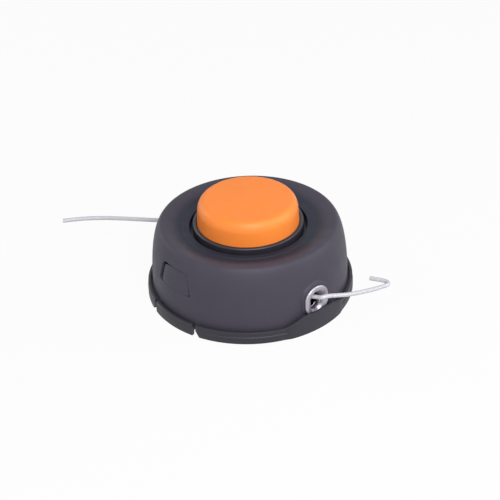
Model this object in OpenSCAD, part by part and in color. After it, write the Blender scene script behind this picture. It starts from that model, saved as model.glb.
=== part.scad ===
// Bump feed trimmer head, standing on its flange with the bump knob up. Millimetres.
// Origin at the centre of the resting face, Z up through the knob,
// line eyelets on the X axis, cover latches on the Y axis.

/* [Flange] */
// Height of the flange, which is also the level of the inner floor
flange_h = 7.5; // [7:0.1:9]
// Width of the flat ledge around the cover
ledge_w = 2.1; // [1.8:0.1:2.6]
// Thickness of the floor under the spool
floor_t = 3.2; // [2.6:0.1:4]
// Depth of the groove that takes the foot of the cover
groove_d = 1.0; // [0.6:0.1:1.4]
// Width of the open part of that groove, outside the cover
groove_gap = 1.3; // [0.9:0.1:1.6]
// Depth of the fine line around the flange's outer face
trim_line_d = 0.3; // [0.1:0.1:0.5]
// Height of that line above the resting face
trim_line_z = 4.6; // [3.5:0.1:5]
// Width of the slots beside each latch, at their top
slot_w = 2.2; // [1.6:0.1:4]
// Width that their mouths gain toward the resting face, away from the latch
slot_flare = 3.5; // [0:0.1:4]
// Angle from each latch to its slots, in degrees
slot_angle = 16.6; // [15:0.1:22]

/* [Underside] */
// Radius of the drive boss on the underside
boss_r = 15; // [14:0.1:18]
// Height of the boss face above the resting face
boss_z = 0.5; // [0:0.1:1.5]
// Number of radial ribs
rib_n = 12; // [6:1:18]
// Thickness of the underside ribs
rib_t = 1.6; // [1.2:0.1:2.4]
// Height of the rib edges above the resting face
rib_z = 1.2; // [0.6:0.1:2]
// Radius of the round rib
round_rib_r = 38; // [30:0.5:46]

/* [Drive] */
// Width across the flats of the drive nut
nut_af = 17; // [16:0.1:17.2]
// Height of the drive nut
nut_h = 8; // [6:0.1:9]
// Radius of the thread's minor diameter in the nut, for M10 x 1.25
thread_r = 4.32; // [4.2:0.01:4.6]
// Level of the ledge that the nut sits on
nut_z = 4.2; // [3.6:0.1:5]
// Clearance around the nut in its pocket
nut_gap = 0.05; // [0.02:0.01:0.1]
// Radius of the shaft passage under the nut
passage_r = 5.3; // [5.1:0.1:6.5]
// Outer radius of the post that the spool turns on
post_r = 12; // [11.8:0.1:12.6]
// Distance of the post's end below the top of the spool plate
post_drop = 1.4; // [0.5:0.1:3]

/* [Cover] */
// Wall thickness of the cover
cover_t = 2.4; // [2:0.1:2.8]
// Height of the straight foot of the cover
foot_h = 3.6; // [2:0.1:6]
// How far the wall leans inward up to the ridge
shoulder_w = 7.5; // [6:0.1:8]
// Height of the ridge above the valley beside the lip
dish_d = 2.1; // [1:0.1:3]
// Width of the raised lip around the opening
lip_w = 4.4; // [3:0.1:5]
// Height of that lip above the valley
lip_h = 0.8; // [0.3:0.1:1.5]
// Clearance between the opening and the spool collar
opening_gap = 1.0; // [0.6:0.1:1.5]

/* [Latches] */
// Angle from the eyelets to the latches, in degrees
latch_angle = 91.5; // [88:0.1:92]
// Width of each latch window at its lower edge
window_w = 28; // [22:0.1:30]
// How much narrower its upper edge is
window_taper = 7; // [0:0.1:9]
// Level of the lower edge of the windows
window_z = 24.6; // [20:0.1:28]
// Height of the windows
window_h = 14.3; // [10:0.1:17]
// Clearance between each latch pad and its window
latch_gap = 0.3; // [0.2:0.05:0.5]
// Width of the open slot at one end of each pad
latch_slot = 1.8; // [0.6:0.1:2.4]
// Thickness of the latch tongues
tongue_t = 2; // [1.6:0.1:2.4]

/* [Eyelets] */
// Level of the centre of the eyelet's upper round
eye_z = 20.4; // [19:0.1:22]
// How far its lower round lies below that
eye_drop = 3; // [0:0.1:3.4]
// Half width of the eyelet bore
eye_bore_r = 3.5; // [3.5:0.1:3.9]
// Half width of the eyelet barrel
eye_body_r = 5.4; // [5.1:0.1:5.8]
// Half width of the eyelet flange
eye_lip_r = 9; // [8:0.1:9.2]
// Thickness of the eyelet flange
eye_lip_t = 1.6; // [1.2:0.1:1.8]
// Radius of the rounding at the eyelet mouth
eye_flare = 2.7; // [2:0.1:2.8]
// Length of the eyelet barrel behind its flange
eye_barrel = 4.5; // [3.6:0.1:4.8]
// Half width of the boss on the cover behind the flange
eye_boss_r = 10.1; // [9.6:0.1:11]
// How far that boss stands out of the cover's foot radius
eye_boss_out = 0.3; // [0.1:0.1:0.5]

/* [Eyelet lugs] */
// Level of the top of the lugs
lug_top = 14.2; // [12:0.1:15]
// Radial thickness of the lugs
lug_t = 1.9; // [1.4:0.1:2]
// How far the lugs stand out of the flange
lug_proud = 0.7; // [0.2:0.1:1]
// Half angle of the flat top of a lug, in degrees
lug_flat = 8.8; // [8:0.1:13]
// Half angle of the foot of a lug, in degrees
lug_foot = 23; // [17:0.5:25]
// Half width of the saddle under an eyelet
saddle_w = 7; // [6.6:0.1:7.6]

/* [Line] */
// Diameter of the nylon line
line_d = 2.7; // [2.4:0.1:2.8]

/* [Spool] */
// Width of the way around the spool that the lines leave by
way_w = 6.2; // [5.8:0.1:7]
// Radius of the drum that the line is wound on
drum_r = 30; // [27:0.5:34]
// Depth of the line channels, from the spool's edge to the drum
channel_d = 23; // [20:0.5:26]
// Thickness of the drum and of the inner sleeve
drum_t = 2.2; // [1.8:0.1:2.4]
// Height of each line channel
channel_h = 9.6; // [9.4:0.1:10]
// Thickness of the lower spool flange
rim_t = 1.8; // [1.4:0.1:2.4]
// Thickness of the divider between the channels
divider_t = 1.4; // [1:0.1:2]
// Thickness of the top plate of the spool
plate_t = 2; // [1.6:0.1:2.6]
// How far the wound line stays below the spool's edge
wound_drop = 3; // [1.5:0.1:6]
// Length of the bore that guides the spool on the post
guide_l = 8.6; // [7:0.1:10]
// Radial clearance of the spool on the post
guide_gap = 0.3; // [0.2:0.05:0.4]
// Radial thickness of the collar around the knob
collar_t = 4; // [3:0.1:4.5]
// Height of the collar's top above the valley of the cover
collar_rise = 1.1; // [0.5:0.1:2]
// Thickness of the ribs inside the drum
spoke_t = 1.6; // [1.2:0.1:2.4]

/* [Ratchet] */
// Number of cogs and of stops
cog_n = 12; // [12:12:12]
// Width of a cog and of a stop
cog_w = 5; // [4:0.1:5]
// Height of the lower cogs and stops
cog_h = 3; // [2.5:0.1:3.5]
// Height of the upper cogs
top_cog_h = 2; // [1.6:0.1:2.2]
// Radial length of the cogs and stops
cog_l = 5.5; // [4:0.5:6]
// Angle between a cog and the stop that it rests against, in degrees
cog_angle = 7.6; // [7.5:0.1:8]
// Clearance between the spool plate and the upper stops
cog_gap = 0.3; // [0.2:0.05:0.4]
// Height of the upper stops
stop_h = 2.3; // [2.3:0.1:2.8]

/* [Knob] */
// Radius of the knob
knob_r = 31.8; // [30:0.1:34]
// How far the knob's side leans inward from its foot up
knob_draft = 0.5; // [0:0.1:1.5]
// Height of the knob above the collar
knob_stand = 16.6; // [14:0.1:24]
// Radial reach of the rounding at the knob's edge
edge_w = 5; // [4:0.5:14]
// Height of that rounding
edge_h = 7.6; // [5:0.1:12]
// Rise of the knob's crown inside the rounding
crown = 0.3; // [0.1:0.1:1.5]
// Wall thickness of the knob
knob_t = 2.8; // [2:0.1:3.4]
// Clearance between knob and collar
knob_gap = 0.2; // [0.1:0.05:0.4]
// Travel of the knob when it is bumped
travel = 6; // [4:0.5:6]
// Clearance left under the lower cogs at full travel
floor_gap = 0.5; // [0.3:0.1:1]
// Number of snap legs
leg_n = 4; // [3:1:6]
// Width of a snap leg
leg_w = 8; // [5:0.5:10]
// Thickness of a snap leg
leg_t = 2; // [1.6:0.1:2.6]
// Reach of the hook on a snap leg
hook = 1.2; // [0.8:0.1:1.8]
// Thickness of the ribs under the knob's top
knob_rib_t = 1.8; // [1.2:0.1:2.4]
// Depth of those ribs
knob_rib_h = 6; // [3:0.5:8]

/* [Spring] */
// Diameter of the spring wire
wire_d = 1.6; // [1.2:0.1:1.8]
// Clearance between the spring and the post
spring_gap = 0.65; // [0.4:0.05:0.8]
// Clearance between the spring and the sleeve around it
pocket_gap = 0.75; // [0.4:0.05:1]
// Number of turns of the spring
spring_turns = 7; // [5:1:8]
// Thickness of the spring washers
washer_t = 1; // [0.8:0.1:1.5]

/* [Hidden] */

$fn = 96;

// Gaps and overlaps that are too small to see
seat = 0.05;
bite = 0.5;
// Clearance between plain moulded faces
fit = 0.2;
// How far a cut starts inside the wall that it goes through
reach = 8;

// Radial places, from the drum outward
spool_r = drum_r + channel_d;
cover_in_r = spool_r + way_w;
cover_r = cover_in_r + cover_t;
ridge_r = cover_r - shoulder_w;
groove_r = cover_r + groove_gap;
ring_in_r = groove_r - bite;
flange_r = groove_r + ledge_w;

// Radial places around the knob
collar_r = knob_r + knob_gap + collar_t;
opening_r = collar_r + opening_gap;
lip_r = opening_r + lip_w;
valley_r = lip_r + 1.5 * lip_h;

// Cogs and stops, midway between the collar and the spool's edge
cog_r = (collar_r + spool_r - cog_l) / 2;

// Levels, from the resting face up
floor_top = flange_h;
floor_under = floor_top - floor_t;
cover_z = floor_top - groove_d;
wall_z = cover_z + foot_h;
rim_z = floor_top + floor_gap + travel + cog_h;
lower_channel_z = rim_z + rim_t;
divider_z = lower_channel_z + channel_h;
upper_channel_z = divider_z + divider_t;
plate_z = upper_channel_z + channel_h;
plate_top = plate_z + plate_t;
valley_z = plate_top + cog_gap + stop_h + cover_t;
ridge_z = valley_z + dish_d;
collar_top = valley_z + collar_rise;
knob_top = collar_top + knob_stand;
post_top = plate_top - post_drop;
shoulder_z = plate_top - guide_l;

// Drive and spring
nut_corner_r = (nut_af / 2 + nut_gap) / cos(30);
post_in_r = nut_corner_r + nut_gap;
guide_r = post_r + guide_gap;
spring_r = post_r + spring_gap + wire_d / 2;
pocket_r = spring_r + wire_d / 2 + pocket_gap;
sleeve_r = pocket_r + drum_t;
spring_z0 = floor_top + washer_t + seat;
spring_z1 = shoulder_z - seat - washer_t - seat;

// Eyelets
eye_face = cover_r + eye_boss_out + eye_lip_t;
eye_back = cover_r + eye_boss_out;
eye_in = eye_back - eye_barrel;
lug_r = flange_r + lug_proud;
lug_in_r = lug_r - lug_t;

// Knob, its legs midway between the sleeve and the drum
ceiling = knob_top - knob_t - crown;
leg_r = (sleeve_r + drum_r - drum_t + leg_t - hook) / 2;

// Route of the right line, from the mouth of its channel through the eyelet to its end
RIGHT_ROUTE = [[54.9, -6.6, 20.4], [55.6, -3.8, 20.3], [57.9, -0.6, 20.1], [60.8, 1.6, 20],
    [62.7, 2.3, 20], [64, 3.3, 20], [66.1, 8.6, 20], [69.3, 17.5, 20], [72.7, 25, 20],
    [75.7, 32.3, 20], [78.5, 39.4, 20.2], [79.7, 43.2, 20.8], [79.1, 46.2, 21.5], [76.3, 46.1, 22],
    [72.3, 43.6, 22], [67.8, 40.8, 22]];
// Route of the left line
LEFT_ROUTE = [[-54.9, 6.6, 20.4], [-55.6, 3.8, 20.3], [-57.9, 0.6, 20.1], [-60.8, -1.3, 20],
    [-62.6, -2.2, 20], [-65, -4.6, 20], [-69.7, -10, 20], [-76.2, -16.1, 20], [-85, -23.9, 20],
    [-93.1, -31.1, 20], [-103, -40.7, 20], [-111.5, -51.3, 20], [-118.2, -62.2, 20]];

// Helpers

// Points of an arc or of an upright ellipse, from angle a0 to a1
function arc(centre, w, h, a0, a1, steps) =
    [for (i = [0:steps]) let (a = a0 + (a1 - a0) * i / steps)
        [centre[0] + w * cos(a), centre[1] + h * sin(a)]];

// Outside of the cover's wall, drawn t inside the surface
function wall_line(t, z0) =
    concat([[cover_r - t, z0]], arc([ridge_r - t, wall_z], shoulder_w, ridge_z - t - wall_z, 0, 90, 12));

// Inward dish between the ridge and the valley, drawn t below the surface
function dish_line(t) =
    [for (i = [1:6]) let (u = i / 6)
        [ridge_r - t + (valley_r - ridge_r + t) * u, ridge_z - t - dish_d * (1 - cos(180 * u)) / 2]];

// Direction of v
function unit(v) = v / norm(v);

// Direction of the line of points p at its point i
function along(p, i) = unit(p[min(i + 1, len(p) - 1)] - p[max(i - 1, 0)]);

// Points of a smooth curve through p, with k steps from each point to the next
function smooth(p, k) =
    concat([for (i = [0:len(p) - 2]) for (j = [0:k - 1])
        let (a = p[max(i - 1, 0)], b = p[i], c = p[i + 1], d = p[min(i + 2, len(p) - 1)], u = j / k)
        0.5 * (2 * b + (c - a) * u + (2 * a - 5 * b + 4 * c - d) * u * u
            + (3 * b - a - 3 * c + d) * u * u * u)],
        [p[len(p) - 1]]);

// A round tube along the points p
module tube(p, d, sides) {
    rings = len(p);
    points = [for (i = [0:rings - 1])
        let (t = along(p, i), side = unit(cross(t, [0, 0, 1])), up = cross(side, t))
        for (k = [0:sides - 1]) let (a = 360 * k / sides)
        p[i] + d / 2 * (cos(a) * side + sin(a) * up)];
    walls = [for (i = [0:rings - 2]) for (k = [0:sides - 1])
        [i * sides + k, i * sides + (k + 1) % sides,
            (i + 1) * sides + (k + 1) % sides, (i + 1) * sides + k]];
    first = [for (k = [sides - 1:-1:0]) k];
    last = [for (k = [0:sides - 1]) (rings - 1) * sides + k];
    polyhedron(points, concat([first], walls, [last]));
}

// A ring between two radii and two levels
module band(r1, r2, z1, z2) {
    translate([0, 0, z1]) difference() {
        cylinder(r = r2, h = z2 - z1);
        translate([0, 0, -1]) cylinder(r = r1, h = z2 - z1 + 2);
    }
}

// A bar along X with the eyelets' upright oval section
module oval(r, x1, x2) {
    for (z = [eye_z, eye_z - eye_drop])
        translate([x1, 0, z]) rotate([0, 90, 0]) cylinder(r = r, h = x2 - x1);
    translate([x1, -r, eye_z - eye_drop]) cube([x2 - x1, 2 * r, eye_drop]);
}

// Radial blocks, evenly spaced, the first at angle a
module blocks(n, a, r, l, w, z, h) {
    for (i = [0:n - 1]) rotate([0, 0, a + 360 * i / n])
        translate([r, -w / 2, z]) cube([l, w, h]);
}

// The same thing on both sides of the axis
module both() {
    for (a = [0, 180]) rotate([0, 0, a]) children();
}

// Base housing

module base_housing() color([0.25, 0.24, 0.27]) {
    difference() {
        union() {
            base_shell();
            underside_ribs();
            blocks(cog_n, 180 / cog_n + cog_angle, cog_r, cog_l, cog_w, floor_top - bite, cog_h + bite);
            both() eyelet_seat();
            rotate([0, 0, latch_angle]) both() latch_tongue();
        }
        nut_pocket();
        rotate([0, 0, latch_angle]) both() flange_slots();
    }
}

// Ring, floor, groove, boss and post in one revolve
module base_shell() {
    rotate_extrude() polygon(concat(
        [[passage_r, boss_z], [boss_r, boss_z], [boss_r, floor_under], [ring_in_r, floor_under],
            [ring_in_r + 0.4, 0], [flange_r - 0.4, 0], [flange_r, 0.4]],
        [[flange_r, trim_line_z], [flange_r - trim_line_d, trim_line_z + trim_line_d],
            [flange_r - trim_line_d, floor_top - 0.3], [flange_r - trim_line_d - 0.3, floor_top]],
        [[groove_r, floor_top], [groove_r, cover_z], [cover_in_r - fit, cover_z],
            [cover_in_r - fit, floor_top], [post_r, floor_top], [post_r, post_top - 1],
            [post_r - 0.8, post_top], [passage_r, post_top]]));
}

// Radial ribs and one round rib between the boss and the ring
module underside_ribs() {
    blocks(rib_n, 180 / rib_n, boss_r - bite, ring_in_r - boss_r + 2 * bite, rib_t,
        rib_z, floor_under - rib_z + bite);
    band(round_rib_r - rib_t / 2, round_rib_r + rib_t / 2, rib_z, floor_under + bite);
}

// Hexagon pocket and the round bore above it, up through the post
module nut_pocket() {
    translate([0, 0, nut_z]) cylinder(r = nut_corner_r, h = nut_h + seat, $fn = 6);
    translate([0, 0, nut_z + nut_h]) cylinder(r = post_in_r, h = post_top);
}

// Lug outside the eyelet, and the saddle that carries its barrel
module eyelet_seat() {
    difference() {
        union() {
            intersection() {
                band(lug_in_r, lug_r, 0, lug_top);
                lug_outline();
            }
            intersection() {
                band(eye_in + 0.3, lug_in_r + bite, floor_top - bite, eye_z - eye_drop - eye_lip_r - fit);
                translate([0, -saddle_w, 0]) cube([lug_r, 2 * saddle_w, lug_top]);
            }
            intersection() {
                band(eye_in + 0.3, cover_r, floor_top - bite, eye_z - fit);
                translate([0, -saddle_w, 0]) cube([lug_r, 2 * saddle_w, eye_z]);
            }
        }
        oval(eye_body_r + seat, eye_in - 1, lug_r);
        oval(eye_lip_r + fit, eye_back - seat, eye_face + fit);
    }
}

// Outline of a lug seen from outside, with a sloped end on each side
module lug_outline() {
    flat_y = lug_r * sin(lug_flat);
    foot_y = lug_r * sin(lug_foot);
    rotate([90, 0, 90]) linear_extrude(height = lug_r + 1) polygon([
        [-foot_y, 0.4], [-foot_y, floor_top - 0.4], [-flat_y - 1.5, lug_top - 0.6], [-flat_y, lug_top],
        [flat_y, lug_top], [flat_y + 1.5, lug_top - 0.6], [foot_y, floor_top - 0.4], [foot_y, 0.4]]);
}

// Outline of a latch window seen from outside, pulled in by slot at its one end and by gap elsewhere
module window_outline(slot, gap) {
    low = window_w / 2;
    high = (window_w - window_taper) / 2;
    rotate([90, 0, 90]) linear_extrude(height = flange_r) polygon([
        [slot - low, window_z + gap], [low - gap, window_z + gap],
        [high - gap, window_z + window_h - gap], [slot - high, window_z + window_h - gap]]);
}

// Springy tongue with the pad that fills the window of the cover
module latch_tongue() {
    inner_t = cover_t + latch_gap;
    arm_w = window_w;
    intersection() {
        rotate_extrude() polygon(concat(
            wall_line(inner_t, floor_top - bite),
            [for (i = [12:-1:0]) wall_line(inner_t + tongue_t, floor_top - bite)[i + 1]],
            [wall_line(inner_t + tongue_t, floor_top - bite)[0]]));
        translate([0, -arm_w / 2, 0]) cube([flange_r, arm_w, window_z + window_h - latch_gap]);
    }
    intersection() {
        rotate_extrude() polygon(concat(wall_line(0, floor_top), [[ridge_r - reach, ridge_z],
            [ridge_r - reach, floor_top]]));
        difference() {
            window_outline(latch_slot, latch_gap);
            rotate_extrude() polygon(concat(wall_line(inner_t + bite, floor_top),
                [[0, ridge_z - inner_t - bite], [0, floor_top]]));
        }
    }
}

// Slots through the flange ring on both sides of a latch, each flared away from it
module flange_slots() {
    for (side = [-1, 1]) rotate([0, 0, side * slot_angle])
        translate([ring_in_r - fit, 0, 0]) rotate([90, 0, 90]) linear_extrude(height = reach)
            polygon([[-side * slot_w / 2, -1], [side * (slot_w / 2 + slot_flare), -1],
                [side * slot_w / 2, 0.45 * flange_h], [side * slot_w / 2, flange_h + 1],
                [-side * slot_w / 2, flange_h + 1]]);
}

// Drive

// Hexagon nut with turned corners
module drive_nut() color([0.62, 0.63, 0.65]) {
    corner = nut_af / 2 / cos(30);
    chamfer = 0.9;
    translate([0, 0, nut_z]) difference() {
        intersection() {
            cylinder(r = corner, h = nut_h, $fn = 6);
            rotate_extrude() polygon([[0, 0], [corner - chamfer, 0], [corner + 0.1, chamfer * 0.6],
                [corner + 0.1, nut_h - chamfer * 0.6], [corner - chamfer, nut_h], [0, nut_h]]);
        }
        translate([0, 0, -1]) cylinder(r = thread_r, h = nut_h + 2);
    }
}

// Washers at the two ends of the spring
module spring_seat_washer() color([0.7, 0.7, 0.72]) {
    band(post_r + fit, spring_r + wire_d, floor_top, floor_top + washer_t);
}

module thrust_washer() color([0.7, 0.7, 0.72]) {
    band(post_r + fit, pocket_r - fit, shoulder_z - seat - washer_t, shoulder_z - seat);
}

// Compression spring with closed ends
module spring() color([0.78, 0.78, 0.8]) {
    steps = 16 * spring_turns;
    z0 = spring_z0 + wire_d / 2;
    z1 = spring_z1 - wire_d / 2;
    tube([for (i = [0:steps]) let (a = 360 * i / 16, u = i / steps)
        [spring_r * cos(a), spring_r * sin(a), z0 + (z1 - z0) * coil_rise(u)]], wire_d, 8);
}

// Share of the spring's height reached at the share u of its turns, flat at both ends
function coil_rise(u) =
    let (closed = 1 / spring_turns, lay = (wire_d + 0.1) / (spring_z1 - spring_z0 - wire_d))
    u < closed ? lay * u / closed
        : u > 1 - closed ? 1 - lay * (1 - u) / closed
        : lay + (1 - 2 * lay) * (u - closed) / (1 - 2 * closed);

// Spool

module spool() color([0.2, 0.19, 0.21]) {
    difference() {
        union() {
            spool_shell();
            spokes();
            blocks(cog_n, 0, cog_r, cog_l, cog_w, plate_top - bite, top_cog_h + bite);
            blocks(cog_n, 0, cog_r, cog_l, cog_w, rim_z - cog_h, cog_h + bite);
        }
        for (i = [0:leg_n - 1]) rotate([0, 0, 360 * i / leg_n]) leg_slot();
        both() line_anchor();
        both() parking_notch();
    }
}

// Sleeve, drum, flanges, plate and collar, each turned about the axis
module spool_shell() {
    rotate_extrude() polygon([[guide_r, shoulder_z], [pocket_r, shoulder_z], [pocket_r, rim_z],
        [sleeve_r, rim_z], [sleeve_r, plate_z], [drum_r - drum_t, plate_z], [drum_r - drum_t, rim_z],
        [spool_r, rim_z], [spool_r, rim_z + rim_t], [drum_r, rim_z + rim_t],
        [drum_r, divider_z], [spool_r - 1, divider_z], [spool_r - 1, upper_channel_z],
        [drum_r, upper_channel_z], [drum_r, plate_z], [spool_r, plate_z], [spool_r, plate_top],
        [collar_r, plate_top], [collar_r, collar_top - 0.8], [collar_r - 0.8, collar_top],
        [knob_r + knob_gap + 0.5, collar_top], [knob_r + knob_gap, collar_top - 0.5],
        [knob_r + knob_gap, plate_top], [guide_r, plate_top]]);
}

// Ribs between the sleeve and the drum, clear of the snap legs
module spokes() {
    blocks(2 * leg_n, 90 / leg_n, sleeve_r - bite, drum_r - drum_t - sleeve_r + 2 * bite, spoke_t,
        rim_z + cog_h, plate_z - rim_z - cog_h + bite);
}

// Slot through the plate for a snap leg and its hook
module leg_slot() {
    translate([leg_r - leg_t - fit, -leg_w / 2 - fit, plate_z - 1])
        cube([leg_t + hook + 2 * fit, leg_w + 2 * fit, plate_t + 2]);
}

// Hole through the drum in each channel, for the end of a line
module line_anchor() {
    for (z = [lower_channel_z, upper_channel_z])
        translate([drum_r - drum_t - 1, 0, z + channel_h / 2]) rotate([0, 90, 0])
            cylinder(r = line_d / 2 + fit, h = drum_t + 2);
}

// Notch in the top plate that holds a line while the cover is off
module parking_notch() {
    rotate([0, 0, 15]) translate([spool_r - 3, -line_d / 2, plate_z - 1])
        cube([4, line_d - fit, plate_t + 2]);
}

// Line wound in one channel, with its outer turns showing as ridges
module wound_line(z) {
    turns = floor(channel_h / line_d);
    pitch = (channel_h - 2 * fit) / turns;
    outer = spool_r - wound_drop - pitch / 2;
    translate([0, 0, z + fit]) rotate_extrude() polygon(concat(
        [[drum_r + fit, 0]],
        [for (i = [0:turns - 1]) each arc([outer, pitch * (i + 0.5)], pitch / 2, pitch / 2, -80, 80, 6)],
        [[drum_r + fit, pitch * turns]]));
}

module wound_line_lower() color([0.8, 0.82, 0.84]) wound_line(lower_channel_z);
module wound_line_upper() color([0.8, 0.82, 0.84]) wound_line(upper_channel_z);

// Knob

// Side and rounded edge of the knob, drawn t inside the surface
function knob_line(t) =
    concat([[knob_r - t, plate_top + 0.5], [knob_r - t, collar_top]],
        arc([knob_r - knob_draft - edge_w, knob_top - crown - edge_h], edge_w - t, edge_h - t, 0, 90, 10));

module bump_knob() color([0.95, 0.45, 0.15]) {
    inside = knob_line(knob_t);
    rotate_extrude() polygon(concat(
        [[knob_r - 0.5, plate_top]],
        knob_line(0),
        [[0.5 * knob_r, knob_top - 0.3 * crown], [0, knob_top], [0, ceiling]],
        [for (i = [len(inside) - 1:-1:0]) inside[i]]));
    for (i = [0:leg_n - 1]) rotate([0, 0, 360 * i / leg_n]) snap_leg();
    intersection() {
        blocks(2 * leg_n, 90 / leg_n, post_r, knob_r - post_r, knob_rib_t,
            ceiling - knob_rib_h, knob_rib_h + bite);
        rotate_extrude() polygon(concat([[0, plate_top]], knob_line(knob_t / 2), [[0, ceiling + bite]]));
    }
}

// Leg with a hook that catches under the spool's plate
module snap_leg() {
    translate([0, leg_w / 2, 0]) rotate([90, 0, 0]) linear_extrude(height = leg_w)
        polygon([[leg_r - leg_t, ceiling + bite], [leg_r - leg_t, plate_z - 3],
            [leg_r, plate_z - 3], [leg_r + hook, plate_z - 1.4], [leg_r + hook, plate_z - fit],
            [leg_r, plate_z - fit], [leg_r, ceiling + bite]]);
}

// Cover

module cover() color([0.29, 0.28, 0.32]) {
    difference() {
        union() {
            cover_shell();
            blocks(cog_n, cog_angle, cog_r, cog_l, cog_w, plate_top + cog_gap, stop_h + cover_t / 2);
            both() eyelet_boss();
        }
        rotate([0, 0, latch_angle]) both() translate([ridge_r - reach, 0, 0]) window_outline(0, 0);
        both() eyelet_notch();
    }
}

module cover_shell() {
    rotate_extrude() polygon(concat(
        wall_line(0, cover_z),
        dish_line(0),
        [[lip_r + 0.3, valley_z + 0.6 * lip_h], [lip_r - 0.3, valley_z + lip_h],
            [opening_r + 1, valley_z + lip_h], [opening_r + 0.3, valley_z + 0.7 * lip_h],
            [opening_r, valley_z], [opening_r, valley_z - cover_t]],
        [for (i = [5:-1:0]) dish_line(cover_t)[i]],
        [for (i = [13:-1:0]) wall_line(cover_t, cover_z)[i]]));
}

// Flat boss behind the eyelet's flange, of the same oval outline
module eyelet_boss() {
    intersection() {
        oval(eye_boss_r, cover_in_r - 2, eye_back - seat);
        translate([0, -cover_r, lug_top + fit]) cube([flange_r, 2 * cover_r, eye_z]);
        band(cover_in_r - 0.1, flange_r, cover_z, ridge_z);
    }
}

// Notch that slides down over the eyelet's barrel and its saddle
module eyelet_notch() {
    oval(eye_body_r + fit, cover_in_r - reach, flange_r);
    translate([cover_in_r - reach, -saddle_w - fit, cover_z - 1])
        cube([flange_r - cover_in_r + reach, 2 * (saddle_w + fit), eye_z - cover_z + 1]);
}

// Eyelets

// Section of the metal bushing through one side, as half width and distance from the head's axis
eye_section = concat(
    [[eye_body_r, eye_back], [eye_body_r, eye_in + 0.6], [eye_body_r - 0.5, eye_in]],
    arc([eye_bore_r + 1.2, eye_in + 1.2], 1.2, 1.2, 270, 180, 4),
    arc([eye_bore_r + eye_flare, eye_face - eye_flare], eye_flare, eye_flare, 180, 90, 8),
    arc([eye_lip_r - 1.1, eye_back + 0.3], 1.1, eye_lip_t - 0.3, 90, 0, 5),
    [[eye_lip_r, eye_back]]);

// Metal bushing with rounded mouths: two turned halves and the straight sides between them
module eyelet() {
    for (side = [-1, 1])
        translate([0, 0, eye_z - eye_drop]) linear_extrude(height = eye_drop)
            polygon([for (p = eye_section) [p[1], side * p[0]]]);
    for (low = [0, 1]) translate([0, 0, eye_z - low * eye_drop]) intersection() {
        rotate([0, 90, 0]) rotate_extrude() polygon(eye_section);
        translate([0, -reach - eye_lip_r, -low * (reach + eye_lip_r)])
            cube([flange_r, 2 * (reach + eye_lip_r), reach + eye_lip_r]);
    }
}

module eyelet_right() color([0.86, 0.86, 0.88]) eyelet();
module eyelet_left() color([0.86, 0.86, 0.88]) rotate([0, 0, 180]) eyelet();

// Lines

module line_tail_right() color([0.85, 0.88, 0.92]) tube(smooth(RIGHT_ROUTE, 2), line_d, 8);
module line_tail_left() color([0.85, 0.88, 0.92]) tube(smooth(LEFT_ROUTE, 2), line_d, 8);

base_housing();
drive_nut();
cover();
eyelet_right();
eyelet_left();
spring_seat_washer();
spring();
thrust_washer();
spool();
wound_line_lower();
wound_line_upper();
bump_knob();
line_tail_right();
line_tail_left();
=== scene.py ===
"""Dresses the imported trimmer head: smooth moulded shells, metal eyelets, nylon line, finishes and stage."""

import math

import bmesh
import bpy
import numpy as np
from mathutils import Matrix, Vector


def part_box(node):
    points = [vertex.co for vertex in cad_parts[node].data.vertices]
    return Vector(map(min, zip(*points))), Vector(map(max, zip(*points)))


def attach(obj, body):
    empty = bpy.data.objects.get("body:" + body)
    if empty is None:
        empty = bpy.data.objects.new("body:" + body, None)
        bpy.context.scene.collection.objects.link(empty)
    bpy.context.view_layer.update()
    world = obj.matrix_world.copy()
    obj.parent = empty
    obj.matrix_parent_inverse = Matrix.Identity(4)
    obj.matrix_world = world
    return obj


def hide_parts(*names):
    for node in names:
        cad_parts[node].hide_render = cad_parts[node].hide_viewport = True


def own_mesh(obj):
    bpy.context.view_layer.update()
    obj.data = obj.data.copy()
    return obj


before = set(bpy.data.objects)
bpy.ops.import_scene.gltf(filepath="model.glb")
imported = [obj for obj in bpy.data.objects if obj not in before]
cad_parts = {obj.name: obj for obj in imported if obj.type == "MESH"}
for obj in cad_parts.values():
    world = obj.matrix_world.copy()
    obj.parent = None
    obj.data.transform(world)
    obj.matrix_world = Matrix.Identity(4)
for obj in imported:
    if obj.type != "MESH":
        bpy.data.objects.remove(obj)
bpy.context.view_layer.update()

bl_info = {
    "name": "Trimmer head",
    "version": (1, 0, 0),
    "blender": (4, 5, 0),
    "location": "View3D > Sidebar > Trimmer head",
    "description": "Builds a bump feed trimmer head with its moulded shells, eyelets and line",
    "category": "Object",
}

MM = 0.001
# The photograph is square, this many pixels each way
PHOTO_PX = 500
# Where the aim point lies in the photograph, and the photograph's scale there
AIM_PX = (249.1, 244.1)
PX_PER_MM = 1.596

# Routes of the two free line ends, as in the CAD model, in millimetres
RIGHT_ROUTE = [
    (54.9, -6.6, 20.4), (55.6, -3.8, 20.3), (57.9, -0.6, 20.1), (60.8, 1.6, 20), (62.7, 2.3, 20.2),
    (64.2, 3.2, 20.6), (65.3, 5.4, 20.9), (66.5, 7.9, 20.8), (68, 10.7, 20.5), (71.1, 16.3, 20),
    (74.1, 22, 20), (76.6, 28, 20), (78.8, 34.5, 20), (79.7, 37.9, 20), (80.3, 40.8, 20),
    (79.9, 43.3, 20), (77.8, 44.1, 20), (75.3, 43.4, 20), (72.4, 41.8, 20), (68, 39.3, 20),
]
LEFT_ROUTE = [
    (-54.9, 6.6, 20.4), (-55.6, 3.8, 20.3), (-57.9, 0.6, 20.1), (-60.8, -1.3, 20), (-62.6, -2.2, 20),
    (-65, -4.6, 20), (-69.7, -10, 20), (-76.2, -16.1, 20), (-85, -23.9, 20), (-93.1, -31.1, 20),
    (-103, -40.7, 20), (-111.5, -51.3, 20), (-118.2, -62.2, 20),
]


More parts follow.
